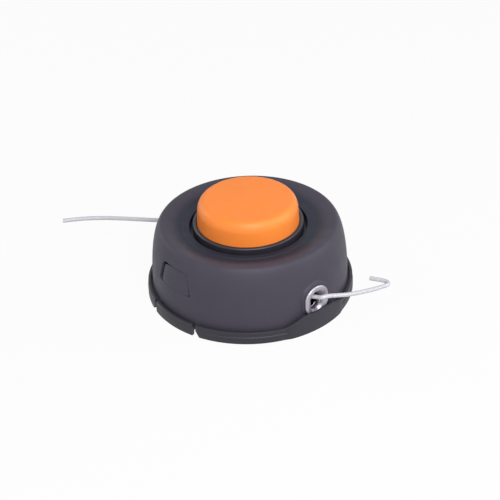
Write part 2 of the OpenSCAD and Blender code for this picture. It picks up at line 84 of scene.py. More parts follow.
def length_setting(name, default, text):
    """A length property in metres, given in millimetres."""
    return bpy.props.FloatProperty(
        name=name, description=text, default=default * MM, unit="LENGTH", subtype="DISTANCE", precision=5
    )


def angle_setting(name, default, text):
    """An angle property, given in degrees."""
    return bpy.props.FloatProperty(name=name, description=text, default=math.radians(default), subtype="ANGLE")


def colour_setting(name, default, text):
    """A colour property."""
    return bpy.props.FloatVectorProperty(
        name=name, description=text, default=default, size=3, min=0, max=1, subtype="COLOR"
    )


class HousingSizes(bpy.types.PropertyGroup):
    """Sizes of the base housing"""

    flange_r: length_setting("Flange radius", 65, "Outer radius of the flange")
    flange_h: length_setting("Flange height", 8.1, "Height of the flange")
    floor_z: length_setting("Floor level", 7.5, "Level of the inner floor")
    ledge_r: length_setting("Ledge radius", 62.9, "Inner radius of the flat ledge around the cover")
    ring_in_r: length_setting("Ring inner radius", 62.4, "Inner radius of the flange's ring")
    groove_z: length_setting("Groove level", 6.5, "Level of the groove that takes the cover")
    floor_under: length_setting("Floor underside", 4.3, "Level of the floor's underside")
    trim_d: length_setting("Trim line depth", 0.3, "Depth of the fine step around the flange")
    trim_z: length_setting("Trim line level", 4.6, "Level of the fine step around the flange")
    slot_w: length_setting("Slot width", 2.2, "Width of the slots beside the latches")
    slot_flare: length_setting("Slot flare", 3.5, "Width that the slots gain toward the resting face")
    slot_angle: angle_setting("Slot angle", 16.6, "Angle from a latch to its slots")
    lug_r: length_setting("Lug radius", 65.7, "Outer radius of the eyelet lugs")
    lug_in_r: length_setting("Lug inner radius", 63.8, "Inner radius of the eyelet lugs")
    lug_top: length_setting("Lug top", 13.3, "Level of the top of the lugs")
    lug_flat: angle_setting("Lug flat", 10.4, "Half angle of the flat top of a lug")
    lug_foot: angle_setting("Lug foot", 21.8, "Half angle of the foot of a lug")
    lug_blend: angle_setting("Lug blend", 17, "Half angle within which a lug stands out in full")
    boss_r: length_setting("Drive boss radius", 15, "Radius of the drive boss on the underside")
    boss_z: length_setting("Drive boss level", 0.5, "Level of the drive boss's face")
    passage_r: length_setting("Shaft passage radius", 5.3, "Radius of the shaft passage")
    rib_z: length_setting("Rib level", 1.2, "Level of the edges of the underside ribs")
    rib_t: length_setting("Rib thickness", 1.6, "Thickness of the underside ribs")
    round_rib_r: length_setting("Round rib radius", 38, "Radius of the round rib")
    post_r: length_setting("Post radius", 12, "Outer radius of the spool's post")
    post_in_r: length_setting("Post bore radius", 10, "Inner radius of the spool's post")
    post_top: length_setting("Post top", 40, "Level of the top of the post")


class CoverSizes(bpy.types.PropertyGroup):
    """Sizes of the cover and its latches"""

    foot_r: length_setting("Foot radius", 61.6, "Outer radius of the cover's foot")
    wall_z: length_setting("Wall level", 10.1, "Level where the wall starts to lean inward")
    wall_t: length_setting("Wall thickness", 2.4, "Thickness of the cover's wall")
    ridge_r: length_setting("Ridge radius", 54.1, "Radius of the ridge around the top")
    ridge_z: length_setting("Ridge level", 48.1, "Level of the ridge around the top")
    valley_r: length_setting("Valley radius", 41.55, "Radius of the valley beside the lip")
    valley_z: length_setting("Valley level", 45.2, "Level of the valley beside the lip")
    lip_r: length_setting("Lip radius", 40.8, "Outer radius of the lip around the opening")
    lip_h: length_setting("Lip height", 0.5, "Height of the lip above the valley")
    opening_r: length_setting("Opening radius", 36.4, "Radius of the opening for the knob")
    latch_angle: angle_setting("Latch angle", 91.5, "Angle from the eyelets to the latches")
    window_w: length_setting("Window width", 30, "Width of a latch window at its lower edge")
    window_taper: length_setting("Window taper", 6.4, "How much narrower a window's upper edge is")
    window_z: length_setting("Window level", 24.6, "Level of a window's lower edge")
    window_h: length_setting("Window height", 14.3, "Height of a latch window")
    window_shift: length_setting("Window shift", 1.5, "How far the windows lie aside from the latches' middle")
    window_round: length_setting("Window corner", 1.6, "Radius of a window's lower corners")
    window_bend: length_setting("Window bend", 4, "Radius of a window's upper corners")
    latch_gap: length_setting("Latch gap", 0.14, "Visible clearance around a latch pad")
    latch_slot: length_setting("Latch slot", 2.3, "Width of the open slot at one end of a pad")
    latch_sink: length_setting("Latch sink", 0.6, "How deep that end of a pad lies in its window")


class EyeletSizes(bpy.types.PropertyGroup):
    """Sizes of the line eyelets"""

    level: length_setting("Eyelet level", 20.4, "Level of the centre of the eyelet's upper round")
    drop: length_setting("Eyelet drop", 3, "How far its lower round lies below that")
    bore_drop: length_setting("Bore drop", 4.4, "How far the lower round of the bore lies below that")
    bore_r: length_setting("Bore half width", 3.5, "Half width of the eyelet bore")
    body_r: length_setting("Barrel half width", 5.4, "Half width of the eyelet barrel")
    lip_r: length_setting("Flange half width", 9, "Half width of the eyelet flange")
    back: length_setting("Flange back", 61.9, "Distance of the flange's back from the head's axis")
    face: length_setting("Flange face", 63.5, "Distance of the flange's face from the head's axis")
    inner: length_setting("Inner end", 57.4, "Distance of the inner end from the head's axis")
    flare: length_setting("Mouth rounding", 4, "Radius of the rounding at the mouth")
    boss_r: length_setting("Boss half width", 10.1, "Half width of the boss behind the flange")


class SpoolSizes(bpy.types.PropertyGroup):
    """Sizes of the spool, the knob and the line"""

    rim_r: length_setting("Flange radius", 53, "Radius of the spool's flanges")
    drum_r: length_setting("Drum radius", 30, "Radius of the drum")
    rim_z: length_setting("Lower flange", 17, "Level of the lower flange's underside")
    plate_top: length_setting("Plate top", 41.4, "Level of the spool plate's top")
    collar_r: length_setting("Collar radius", 34.5, "Outer radius of the collar around the knob")
    collar_top: length_setting("Collar top", 48.3, "Level of the collar's top")
    cog_r: length_setting("Cog radius", 41.75, "Inner radius of the cogs and stops")
    cog_l: length_setting("Cog length", 5.5, "Radial length of the cogs and stops")
    knob_r: length_setting("Knob radius", 31.8, "Radius of the knob's foot")
    knob_draft: length_setting("Knob draft", 0.5, "How far the knob's side leans inward")
    knob_top: length_setting("Knob top", 63.6, "Level of the knob's top")
    knob_t: length_setting("Knob wall", 2.8, "Wall thickness of the knob")
    edge_w: length_setting("Knob edge reach", 5, "Radial reach of the knob's rounding")
    edge_h: length_setting("Knob edge height", 7.6, "Height of the knob's rounding")
    crown: length_setting("Knob crown", 0.3, "Rise of the knob's top inside the rounding")
    leg_r: length_setting("Leg radius", 22.9, "Radius of the outer face of the snap legs")
    line_d: length_setting("Line diameter", 2.7, "Diameter of the nylon line")
    wire_d: length_setting("Wire diameter", 1.6, "Diameter of the spring's wire")
    travel: length_setting("Knob travel", 6, "How far the knob is pressed in")


class HeadColours(bpy.types.PropertyGroup):
    """Colours of the finishes"""

    cover: colour_setting("Cover", (0.051, 0.046, 0.065), "Moulded nylon of the cover")
    housing: colour_setting("Housing", (0.024, 0.022, 0.031), "Moulded nylon of the base housing")
    spool: colour_setting("Spool", (0.018, 0.017, 0.025), "Moulded nylon of the spool")
    knob: colour_setting("Knob", (0.87, 0.235, 0.036), "Moulded plastic of the knob")
    eyelet: colour_setting("Eyelets", (0.45, 0.43, 0.49), "Metal of the eyelets")
    steel: colour_setting("Steel", (0.6, 0.6, 0.62), "Plated steel of the nut, spring and washers")
    line: colour_setting("Line", (0.53, 0.53, 0.57), "Clear nylon of the line")
    backdrop: colour_setting("Backdrop", (1, 1, 1), "White of the floor and backdrop")


def housing_sizes():
    return bpy.context.scene.trimmer_housing


def cover_sizes():
    return bpy.context.scene.trimmer_cover


def eyelet_sizes():
    return bpy.context.scene.trimmer_eyelets


def spool_sizes():
    return bpy.context.scene.trimmer_spool


def colours():
    return bpy.context.scene.trimmer_colours


# Shapes worked out as arrays


def softened(points, radius, steps=4, closed=False):
    """Rounds the corners of a flat line. With a and b on the two sides of a corner c, each radius away
    (or less on a short side), the corner becomes the curve (1-t)^2 a + 2t(1-t) c + t^2 b."""
    p = np.asarray(points, float)
    if closed:
        before, corner, after = np.roll(p, 1, 0), p, np.roll(p, -1, 0)
    else:
        before, corner, after = p[:-2], p[1:-1], p[2:]
    back, ahead = before - corner, after - corner
    back_l = np.linalg.norm(back, axis=1, keepdims=True)
    ahead_l = np.linalg.norm(ahead, axis=1, keepdims=True)
    reach = np.minimum(radius, 0.45 * np.minimum(back_l, ahead_l))
    a = corner + back / back_l * reach
    b = corner + ahead / ahead_l * reach
    t = np.linspace(0, 1, steps + 1)[None, :, None]
    bends = (1 - t) ** 2 * a[:, None] + 2 * t * (1 - t) * corner[:, None] + t**2 * b[:, None]
    bends = bends.reshape(-1, 2)
    return bends if closed else np.concatenate([p[:1], bends, p[-1:]])


def turned(profile, angles):
    """Surface of a profile (r, level) turned about Z: (r cos a, r sin a, level) at each angle a."""
    r, level = profile[:, 0], profile[:, 1]
    a = angles[:, None]
    return np.stack([r * np.cos(a), r * np.sin(a), level + 0 * a], axis=-1)


def grid_faces(rows, columns, wrap_rows, wrap_columns, start=0):
    """Four-sided faces between neighbouring points of a grid, and round its ends where it wraps."""
    i = np.arange(rows if wrap_rows else rows - 1)[:, None]
    j = np.arange(columns if wrap_columns else columns - 1)[None, :]
    down, right = (i + 1) % rows, (j + 1) % columns
    corners = [i * columns + j, down * columns + j, down * columns + right, i * columns + right]
    return start + np.stack(np.broadcast_arrays(*corners), axis=-1).reshape(-1, 4)


def smooth_route(route, steps):
    """Smooth curve through the points of a route: between b and c, with a before and d after, it is
    half of 2b + (c-a)u + (2a-5b+4c-d)u^2 + (3b-a-3c+d)u^3."""
    p = np.asarray(route, float) * MM
    padded = np.concatenate([p[:1], p, p[-1:]])
    a, b, c, d = (padded[k : k + len(p) - 1, None] for k in range(4))
    u = (np.arange(steps) / steps)[None, :, None]
    inner = 0.5 * (2 * b + (c - a) * u + (2 * a - 5 * b + 4 * c - d) * u**2 + (3 * b - a - 3 * c + d) * u**3)
    return np.concatenate([inner.reshape(-1, 3), p[-1:]])


def radial_blocks(count, first, inner, outer, width, low, high):
    """Blocks spaced evenly about Z: the eight corners (x, y, z) of one block, turned by each angle a."""
    x, y, z = np.meshgrid([inner, outer], [-width / 2, width / 2], [low, high], indexing="ij")
    x, y, z = x.ravel(), y.ravel(), z.ravel()
    a = (first + 2 * np.pi * np.arange(count) / count)[:, None]
    points = np.stack([x * np.cos(a) - y * np.sin(a), x * np.sin(a) + y * np.cos(a), z + 0 * a], axis=-1)
    sides = np.array([[0, 1, 3, 2], [4, 6, 7, 5], [0, 4, 5, 1], [2, 3, 7, 6], [0, 2, 6, 4], [1, 5, 7, 3]])
    faces = sides[None] + 8 * np.arange(count)[:, None, None]
    return points.reshape(-1, 3), faces.reshape(-1, 4)


# Making of pieces


def add_piece(name, parts, material, body, nodes=()):
    """Joins (points, faces) pairs into one smooth-shaded piece that rides on a body and stands for nodes."""
    points, faces, count = [], [], 0
    for part_points, part_faces in parts:
        points.append(part_points.reshape(-1, 3))
        faces.extend((part_faces + count).tolist())
        count += len(points[-1])
    mesh = bpy.data.meshes.new(name)
    mesh.from_pydata(np.concatenate(points).tolist(), [], faces)
    joined = bmesh.new()
    joined.from_mesh(mesh)
    bmesh.ops.remove_doubles(joined, verts=joined.verts, dist=2e-6)
    joined.to_mesh(mesh)
    joined.free()
    mesh.materials.append(material)
    mesh.shade_smooth()
    mesh.set_sharp_from_angle(angle=math.radians(38))
    piece = bpy.data.objects.new(name, mesh)
    bpy.context.scene.collection.objects.link(piece)
    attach(piece, body)
    if nodes:
        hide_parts(*nodes)
    return piece


def add_wall(piece, thickness):
    """Gives a shell its wall, inward from the modelled face."""
    wall = piece.modifiers.new("Wall", "SOLIDIFY")
    wall.thickness = thickness
    wall.offset = -1
    wall.use_even_offset = True
    return piece


def add_soft_edges(piece, width, segments=2, clamp=True):
    """Rounds the sharp edges of a piece, then evens out its shading."""
    bevel = piece.modifiers.new("Soft edges", "BEVEL")
    bevel.width = width
    bevel.segments = segments
    bevel.limit_method = "ANGLE"
    bevel.angle_limit = math.radians(38)
    bevel.use_clamp_overlap = clamp
    even = piece.modifiers.new("Even shading", "WEIGHTED_NORMAL")
    even.keep_sharp = True
    return piece


# Finishes


def node_link(tree, source, output, target, socket):
    tree.links.new(source.outputs[output], target.inputs[socket])


def finish_start(name, colour, roughness, metallic=0.0):
    """A new material with its main shader, its node tree and the object coordinates."""
    material = bpy.data.materials.new(name)
    material.use_nodes = True
    tree = material.node_tree
    shader = tree.nodes["Principled BSDF"]
    shader.inputs["Base Color"].default_value = (*colour, 1)
    shader.inputs["Roughness"].default_value = roughness
    shader.inputs["Metallic"].default_value = metallic
    place = tree.nodes.new("ShaderNodeTexCoord")
    return material, tree, shader, place


def add_noise(tree, place, scale, detail=3.0):
    """A noise pattern over the piece, its scale in cells per metre."""
    noise = tree.nodes.new("ShaderNodeTexNoise")
    noise.inputs["Scale"].default_value = scale
    noise.inputs["Detail"].default_value = detail
    node_link(tree, place, "Object", noise, "Vector")
    return noise


def add_range(tree, source, low, high):
    """Maps a pattern from 0.3..0.7 to low..high."""
    spread = tree.nodes.new("ShaderNodeMapRange")
    spread.inputs["From Min"].default_value = 0.3
    spread.inputs["From Max"].default_value = 0.7
    spread.inputs["To Min"].default_value = low
    spread.inputs["To Max"].default_value = high
    node_link(tree, source, "Fac", spread, "Value")
    return spread


def add_bump(tree, shader, source, depth, strength):
    """Raises the surface by a pattern, by up to depth metres."""
    bump = tree.nodes.new("ShaderNodeBump")
    bump.inputs["Strength"].default_value = strength
    bump.inputs["Distance"].default_value = depth
    node_link(tree, source, "Fac", bump, "Height")
    node_link(tree, bump, "Normal", shader, "Normal")


def moulded_finish(name, colour, roughness, shine=0.5, grain=1400.0, mottle=0.12):
    """Moulded plastic: a fine eroded grain, soft changes of gloss and a little mottling of the colour."""
    material, tree, shader, place = finish_start(name, colour, roughness)
    cloud = add_noise(tree, place, 45.0, 4.0)
    tint = tree.nodes.new("ShaderNodeMixRGB")
    tint.inputs["Color1"].default_value = (*[c * (1 - mottle) for c in colour], 1)
    tint.inputs["Color2"].default_value = (*[min(1, c * (1 + mottle)) for c in colour], 1)
    node_link(tree, cloud, "Fac", tint, "Fac")
    node_link(tree, tint, "Color", shader, "Base Color")
    gloss = add_range(tree, add_noise(tree, place, 160.0), roughness - 0.04, roughness + 0.05)
    node_link(tree, gloss, "Result", shader, "Roughness")
    shader.inputs["Specular IOR Level"].default_value = shine
    add_bump(tree, shader, add_noise(tree, place, grain, 2.0), 0.00003, 0.35)
    return material


def paint_dish_shade(material):
    """Paints shade into the cover's dish: its colour darkens from the outer slope inward to the opening, as painted
    shade of the valley around the opening.
    """
    s = cover_sizes()
    tree = material.node_tree
    shader = tree.nodes["Principled BSDF"]
    tint = shader.inputs["Base Color"].links[0].from_node
    place = next(node for node in tree.nodes if node.type == "TEX_COORD")
    flat = tree.nodes.new("ShaderNodeVectorMath")
    flat.operation = "MULTIPLY"
    flat.inputs[1].default_value = (1, 1, 0)
    node_link(tree, place, "Object", flat, 0)
    away = tree.nodes.new("ShaderNodeVectorMath")
    away.operation = "LENGTH"
    node_link(tree, flat, "Vector", away, 0)
    spread = tree.nodes.new("ShaderNodeMapRange")
    spread.interpolation_type = "SMOOTHSTEP"
    spread.inputs["From Min"].default_value = s.valley_r
    spread.inputs["From Max"].default_value = s.ridge_r - 4 * MM
    node_link(tree, away, "Value", spread, "Value")
    # Painted shade: the near-black blue that the dish's colour turns to in the valley by the opening
    mix = tree.nodes.new("ShaderNodeMixRGB")
    mix.inputs["Color1"].default_value = (0.014, 0.017, 0.03, 1)
    node_link(tree, spread, "Result", mix, "Fac")
    node_link(tree, tint, "Color", mix, "Color2")
    node_link(tree, mix, "Color", shader, "Base Color")


def metal_finish(name, colour, roughness):
    """Bright metal with fine drawn marks and uneven gloss."""
    material, tree, shader, place = finish_start(name, colour, roughness, 1.0)
    marks = add_noise(tree, place, 1600.0, 2.0)
    gloss = add_range(tree, marks, roughness - 0.06, roughness + 0.1)
    node_link(tree, gloss, "Result", shader, "Roughness")
    add_bump(tree, shader, marks, 0.000001, 0.1)
    return material


def nylon_finish(name, colour):
    """Milky nylon line: some light passes under its skin, with a faint drawn grain."""
    material, tree, shader, place = finish_start(name, colour, 0.3)
    shader.inputs["Subsurface Weight"].default_value = 0.3
    shader.inputs["Subsurface Scale"].default_value = 0.002
    shader.inputs["IOR"].default_value = 1.53
    cloud = add_noise(tree, place, 300.0)
    gloss = add_range(tree, cloud, 0.26, 0.36)
    node_link(tree, gloss, "Result", shader, "Roughness")
    tint = tree.nodes.new("ShaderNodeMixRGB")
    tint.inputs["Color1"].default_value = (*[c * 0.95 for c in colour], 1)
    tint.inputs["Color2"].default_value = (*colour, 1)
    node_link(tree, cloud, "Fac", tint, "Fac")
    node_link(tree, tint, "Color", shader, "Base Color")
    add_bump(tree, shader, add_noise(tree, place, 2500.0), 0.000004, 0.2)
    return material


FINISHES = {}


def make_finishes():
    """Makes each finish once."""
    tint = colours()
    FINISHES["cover"] = moulded_finish("Cover nylon", tint.cover, 0.52, 0.2)
    # Painted shade in the cover's dish, darker toward the opening
    paint_dish_shade(FINISHES["cover"])
    FINISHES["housing"] = moulded_finish("Housing nylon", tint.housing, 0.5, 0.35)
    FINISHES["spool"] = moulded_finish("Spool nylon", tint.spool, 0.42, 0.4)
    FINISHES["knob"] = moulded_finish("Knob plastic", tint.knob, 0.46, 0.35, mottle=0.03)
    FINISHES["eyelet"] = metal_finish("Eyelet metal", tint.eyelet, 0.38)
    FINISHES["steel"] = metal_finish("Plated steel", tint.steel, 0.32)
    FINISHES["line"] = nylon_finish("Clear nylon", tint.line)


# Forms of the head


def wall_radius(z):
    """Outer radius of the cover's wall at each level: straight at the foot, then a quarter of an upright
    ellipse, r = ridge + lean * sqrt(1 - ((z - start) / rise)^2)."""
    s = cover_sizes()
    share = np.clip((z - s.wall_z) / (s.ridge_z - s.wall_z), 0, 1)
    return s.ridge_r + (s.foot_r - s.ridge_r) * np.sqrt(1 - share**2)


def cover_profile(extra_levels):
    """Outside of the cover as (r, level) from its foot over the ridge to the opening. The wall follows
    wall_radius, the dish falls by (1 - cos) / 2 to the valley, and the lip is a softened step."""
    s = cover_sizes()
    h = housing_sizes()
    split = s.window_z + s.window_h + 1.5 * MM
    wall = np.unique(np.concatenate([np.linspace(h.groove_z, split, 44), extra_levels]))
    wall = np.stack([wall_radius(wall), wall], axis=1)
    start = math.asin((split - s.wall_z) / (s.ridge_z - s.wall_z))
    t = np.linspace(start, np.pi / 2, 22)[1:]
    shoulder = np.stack(
        [s.ridge_r + (s.foot_r - s.ridge_r) * np.cos(t), s.wall_z + (s.ridge_z - s.wall_z) * np.sin(t)], axis=1
    )
    u = np.linspace(0, 1, 16)[1:]
    dish = np.stack(
        [s.ridge_r + (s.valley_r - s.ridge_r) * u, s.ridge_z - (s.ridge_z - s.valley_z) * (1 - np.cos(np.pi * u)) / 2],
        axis=1,
    )
    lip = softened(
        [
            dish[-1],
            (s.lip_r + 0.3 * MM, s.valley_z + 0.1 * MM),
            (s.lip_r - 0.1 * MM, s.valley_z + s.lip_h),
            (s.opening_r + 0.4 * MM, s.valley_z + s.lip_h - 0.1 * MM),
            (s.opening_r, s.valley_z - 0.4 * MM),
        ],
        0.5 * MM,
    )[1:]
    return np.concatenate([wall, shoulder, dish, lip])


def corner_steps(size):
    """Distances from a window's edge at which the grid gets a line, so that its corners can be round."""
    return np.linspace(0, size, 5)


def round_corner(y, z, half_w, low, high, only_edge):
    """Rounds the corners of a window or pad in its own plane. Beyond a corner's centre o, a point p moves
    to o + (p - o) * max(|dx|, |dz|) / |p - o|, which turns the square corner into a quarter circle."""
    s = cover_sizes()
    radius = np.where(z > (low + high) / 2, s.window_bend, s.window_round)
    oy = np.sign(y) * (half_w - radius)
    oz = np.where(z > (low + high) / 2, high - radius, low + radius)
    dy, dz = y - oy, z - oz
    beyond = (dy * np.sign(y) > 0) & (dz * np.sign(z - (low + high) / 2) > 0)
    inside = (np.abs(y) <= half_w + 1e-7) & (z >= low - 1e-7) & (z <= high + 1e-7)
    on_edge = inside & ((np.abs(np.abs(y) - half_w) < 1e-6) | (np.abs(z - low) < 1e-6) | (np.abs(z - high) < 1e-6))
    moved = beyond & (on_edge if only_edge else inside)
    size = np.maximum(np.hypot(dy, dz), 1e-9)
    pull = np.maximum(np.abs(dy), np.abs(dz)) / size
    return np.where(moved, oy + dy * pull, y), np.where(moved, oz + dz * pull, z)


def window_half_angle(z):
    """Half angle of a latch window at each level: its straight sides lean toward each other upward."""
    s = cover_sizes()
    share = np.clip((z - s.window_z) / s.window_h, 0, 1)
    return np.arcsin((s.window_w - s.window_taper * share) / 2 / s.foot_r)


def window_axis():
    """Angle of the middle of a latch window."""
    s = cover_sizes()
    return s.latch_angle - s.window_shift / s.foot_r


def notch_half_angle(wide):
    """Half angle of the notch for an eyelet's barrel, or of the wider notch for its saddle."""
    return (7.2 if wide else 5.6) * MM / cover_sizes().foot_r


def from_axis(angles, axis):
    """Signed angle from the nearer of the two ends of an axis."""
    return (angles - axis + np.pi / 2) % np.pi - np.pi / 2


def cover_columns():
    """Angles of the cover's grid lines: even all round, finer at the eyelets and at the window edges."""
    s = cover_sizes()
    e = eyelet_sizes()
    half = window_half_angle(s.window_z)
    edge = np.append(corner_steps(s.window_round), corner_steps(s.window_bend)) / s.foot_r
    windows = np.concatenate([half - edge, edge - half]) + window_axis()
    notch = np.array([notch_half_angle(wide) * side for wide in (False, True) for side in (-1, 1)])
    boss = np.linspace(-1.25, 1.25, 41) * e.boss_r / e.back
    half_turn = np.concatenate([np.radians(np.arange(0, 180, 2.0)), windows, notch, boss])
    both = np.concatenate([half_turn, half_turn + np.pi]) % (2 * np.pi)
    return np.unique(np.round(both, 7))


def lean_columns(side, z):
    """Leans the grid lines near a window so that they follow its sides, and leaves those further off:
    the side h0 of the lower edge goes to h(z), and an angle twice as far out stays."""
    low = window_half_angle(cover_sizes().window_z)
    here = window_half_angle(z)
    far = 2 * low
    size = np.abs(side)
    inside = size * here / low
    outside = here + (size - low) * (far - here) / (far - low)
    return np.sign(side) * np.where(size < low, inside, np.where(size < far, outside, size))


def oval_distance(y, z):
    """Distance from the middle line of the eyelets' upright oval."""
    e = eyelet_sizes()
    return np.hypot(y, np.maximum(z - e.level, 0) + np.minimum(z - e.level + e.drop, 0))


def boss_radius(angles, r, z):
    """Raises the wall to a flat oval boss at each eyelet: inside the boss's edge the radius becomes
    back / cos(a), blended over 1.1 mm by 3w^2 - 2w^3."""
    e = eyelet_sizes()
    a = from_axis(angles, 0)[:, None]
    away = oval_distance(r * np.sin(a), z)
    w = np.clip((e.boss_r + 0.9 * MM - away) / (1.1 * MM), 0, 1)
    w = w * w * (3 - 2 * w) * (z > housing_sizes().lug_top)
    return r + w * np.maximum(0, (e.back - 0.05 * MM) / np.cos(a) - r)


def make_cover():
    """Cover as one grid of angle and profile, without the faces in its windows and notches."""
    s = cover_sizes()
    e = eyelet_sizes()
    low, high = s.window_z, s.window_z + s.window_h
    steps, bend = corner_steps(s.window_round), corner_steps(s.window_bend)
    top_of_notch = e.level + 5.6 * MM
    profile = cover_profile(np.concatenate([low + steps, high - bend, [e.level, top_of_notch]]))
    crest = int(np.argmax(profile[:, 1]))
    angles = cover_columns()
    r = np.broadcast_to(profile[None, :, 0], (len(angles), len(profile)))
    z = np.broadcast_to(profile[None, :, 1], r.shape)
    r = np.where(z < high + 1.5 * MM, boss_radius(angles, r, z), r)
    side = from_axis(angles, window_axis())[:, None]
    half = window_half_angle(low)
    along, level = round_corner(side * s.foot_r, z, half * s.foot_r, low, high, True)
    moved = lean_columns(along / s.foot_r, level)
    on_wall = np.arange(len(profile))[None, :] <= crest
    moved = np.where(on_wall, moved, lean_columns(side, s.ridge_z))
    turn = angles[:, None] - side + moved
    level = np.where(on_wall, level, z)
    points = np.stack([r * np.cos(turn), r * np.sin(turn), level], axis=-1)
    faces = grid_faces(len(angles), profile.shape[0], True, False)
    gap = np.diff(np.append(angles, angles[0] + 2 * np.pi))
    middle = (angles + gap / 2)[:, None]
    middle_z = (profile[:-1, 1] + profile[1:, 1])[None, :] / 2
    in_window = (np.abs(from_axis(middle, window_axis())) < half) & (middle_z > low) & (middle_z < high)
    eye = np.abs(from_axis(middle, 0))
    in_notch = (eye < notch_half_angle(False)) & (middle_z < top_of_notch)
    in_notch |= (eye < notch_half_angle(True)) & (middle_z < e.level)
    open_faces = (in_window | in_notch) & (np.arange(len(profile) - 1) < crest)
    return points, faces[~open_faces.ravel()]


def make_latch_pad(axis):
    """Pad of a latch: a patch of the wall's own surface in the window's outline, pulled in by the slot at
    one end, where it also lies deeper, falling off by (1 - u)^2 over a quarter of its width."""
    s = cover_sizes()
    low, high = s.window_z + 0.03 * MM, s.window_z + s.window_h - s.latch_gap
    half = s.window_w / 2
    steps = np.append(corner_steps(s.window_round), corner_steps(s.window_bend))
    y = np.unique(np.concatenate([np.linspace(-half, half, 33), half - steps, steps - half]))
    z = np.unique(np.concatenate([np.linspace(low, high, 25), low + steps, high - steps]))
    y, z = np.meshgrid(y, z, indexing="ij")
    y, z = round_corner(y, z, half, low, high, False)
    wide = window_half_angle(z) * s.foot_r
    share = (y + half) / (2 * half)
    up = (z - low) / (high - low)
    gap = s.latch_gap + 0.6 * MM * np.clip(1.6 - 2.5 * up, 0, 1)
    y = -wide + s.latch_slot + share * (2 * wide - s.latch_slot - gap)
    z = z - 0.9 * MM * np.clip(4 * up - 3, 0, 1) * np.clip(1.6 - 4 * share, 0, 1)
    sink = s.latch_sink * np.clip(1 - 4 * share, 0, 1) ** 2
    sink = sink + s.latch_sink * np.clip(8 * share - 7, 0, 1) * np.clip(1.6 - 2.5 * up, 0, 1)
    r = wall_radius(z) - sink - 0.03 * MM
    a = axis + y / s.foot_r
    return np.stack([r * np.cos(a), r * np.sin(a), z], axis=-1), grid_faces(*y.shape, False, False)


def make_latch_tongue(axis):
    """Springy tongue behind a pad: a patch that follows the inside of the cover's wall."""
    s = cover_sizes()
    h = housing_sizes()
    half_w = s.window_w / 2
    top = s.window_z + s.window_h - s.window_bend
    y, z = np.meshgrid(np.linspace(-half_w, half_w, 21), np.linspace(h.floor_z - 0.5 * MM, top, 30), indexing="ij")
    r = wall_radius(z) - s.wall_t - 0.3 * MM
    a = axis + np.arcsin(y / r)
    return np.stack([r * np.cos(a), r * np.sin(a), z], axis=-1), grid_faces(*y.shape, False, False)


def lug_form(angles):
    """Top level of the flange and how far it stands out as a lug (0 to 1) at each angle: a flat top with
    sloped ends over the ledge, and 3w^2 - 2w^3 between the lug's foot and its full radius."""
    h = housing_sizes()
    away = np.abs(from_axis(angles, 0))
    shelf = h.lug_flat + math.radians(1.3)
    top = np.interp(
        away, [h.lug_flat, shelf, h.lug_foot], [h.lug_top, h.lug_top - 0.6 * MM, h.flange_h - 0.1 * MM]
    )
    w = np.clip((h.lug_foot - away) / (h.lug_foot - h.lug_blend), 0, 1)
    return np.maximum(top, h.flange_h), w * w * (3 - 2 * w), away < h.lug_foot


def make_flange_section(start, end, flare):
    """One stretch of the flange ring between two slots: a closed section (r, level) carried round the
    axis, raised at a lug, whose ends follow the slots' sides. The share u of the way from its middle
    moves each point by u^9 times the slot's half width there."""
    h = housing_sizes()
    e = eyelet_sizes()
    pocket = math.asin((e.lip_r + 0.3 * MM) / h.lug_in_r)
    marks = [h.lug_foot + 0.0006, h.lug_foot, h.lug_flat + math.radians(1.3), h.lug_flat, pocket + 0.002, pocket]
    marks = np.concatenate([marks, -np.array(marks)])
    marks = np.concatenate([marks + k * np.pi for k in (-1, 0, 1, 2)])
    angles = np.concatenate([np.arange(start, end, math.radians(1.2)), marks])
    angles = np.unique(np.append(angles[(angles > start + 0.01) & (angles < end - 0.01)], [start, end]))
    top, out, lug = lug_form(angles)
    a0 = from_axis(angles, 0)
    out_r = h.flange_r + (h.lug_r - h.flange_r) * out
    step_r = out_r - h.trim_d * (1 - out)
    in_r = np.where(lug, h.lug_in_r, h.ledge_r)
    in_r = np.where(np.abs(a0) < pocket + 0.001, np.maximum(in_r, (e.face + 0.15 * MM) / np.cos(a0)), in_r)
    fine = 0.3 * MM
    one = np.ones_like(angles)
    section = [
        (h.ring_in_r + 0.4 * MM, 0), (h.flange_r - 0.5 * MM, 0), (out_r - 0.15 * MM, 0.12 * MM), (out_r, 0.5 * MM),
        (out_r, h.trim_z), (step_r, h.trim_z + h.trim_d), (step_r, top - fine), (step_r - 0.1 * MM, top - 0.1 * MM),
        (step_r - fine, top), (in_r + 0.15 * MM, top), (in_r, top - 0.15 * MM), (in_r, h.flange_h - 0.16 * MM),
        (h.ledge_r, h.flange_h - 0.17 * MM), (h.ledge_r, h.groove_z), (h.ring_in_r, h.groove_z),
        (h.ring_in_r, h.floor_under - 0.3 * MM),
    ]
    r = np.stack([one * p[0] for p in section], axis=1)
    z = np.stack([one * p[1] for p in section], axis=1)
    lean = np.clip((0.45 * h.flange_h - z) / (0.45 * h.flange_h + 1 * MM), 0, 1)
    half_slot = np.arcsin((h.slot_w / 2 + flare * lean) / r)
    u = (angles[:, None] - (start + end) / 2) / ((end - start) / 2)
    turn = angles[:, None] - half_slot * u**9
    points = np.stack([r * np.cos(turn), r * np.sin(turn), z], axis=-1)
    return points, grid_faces(len(angles), len(section), False, True)


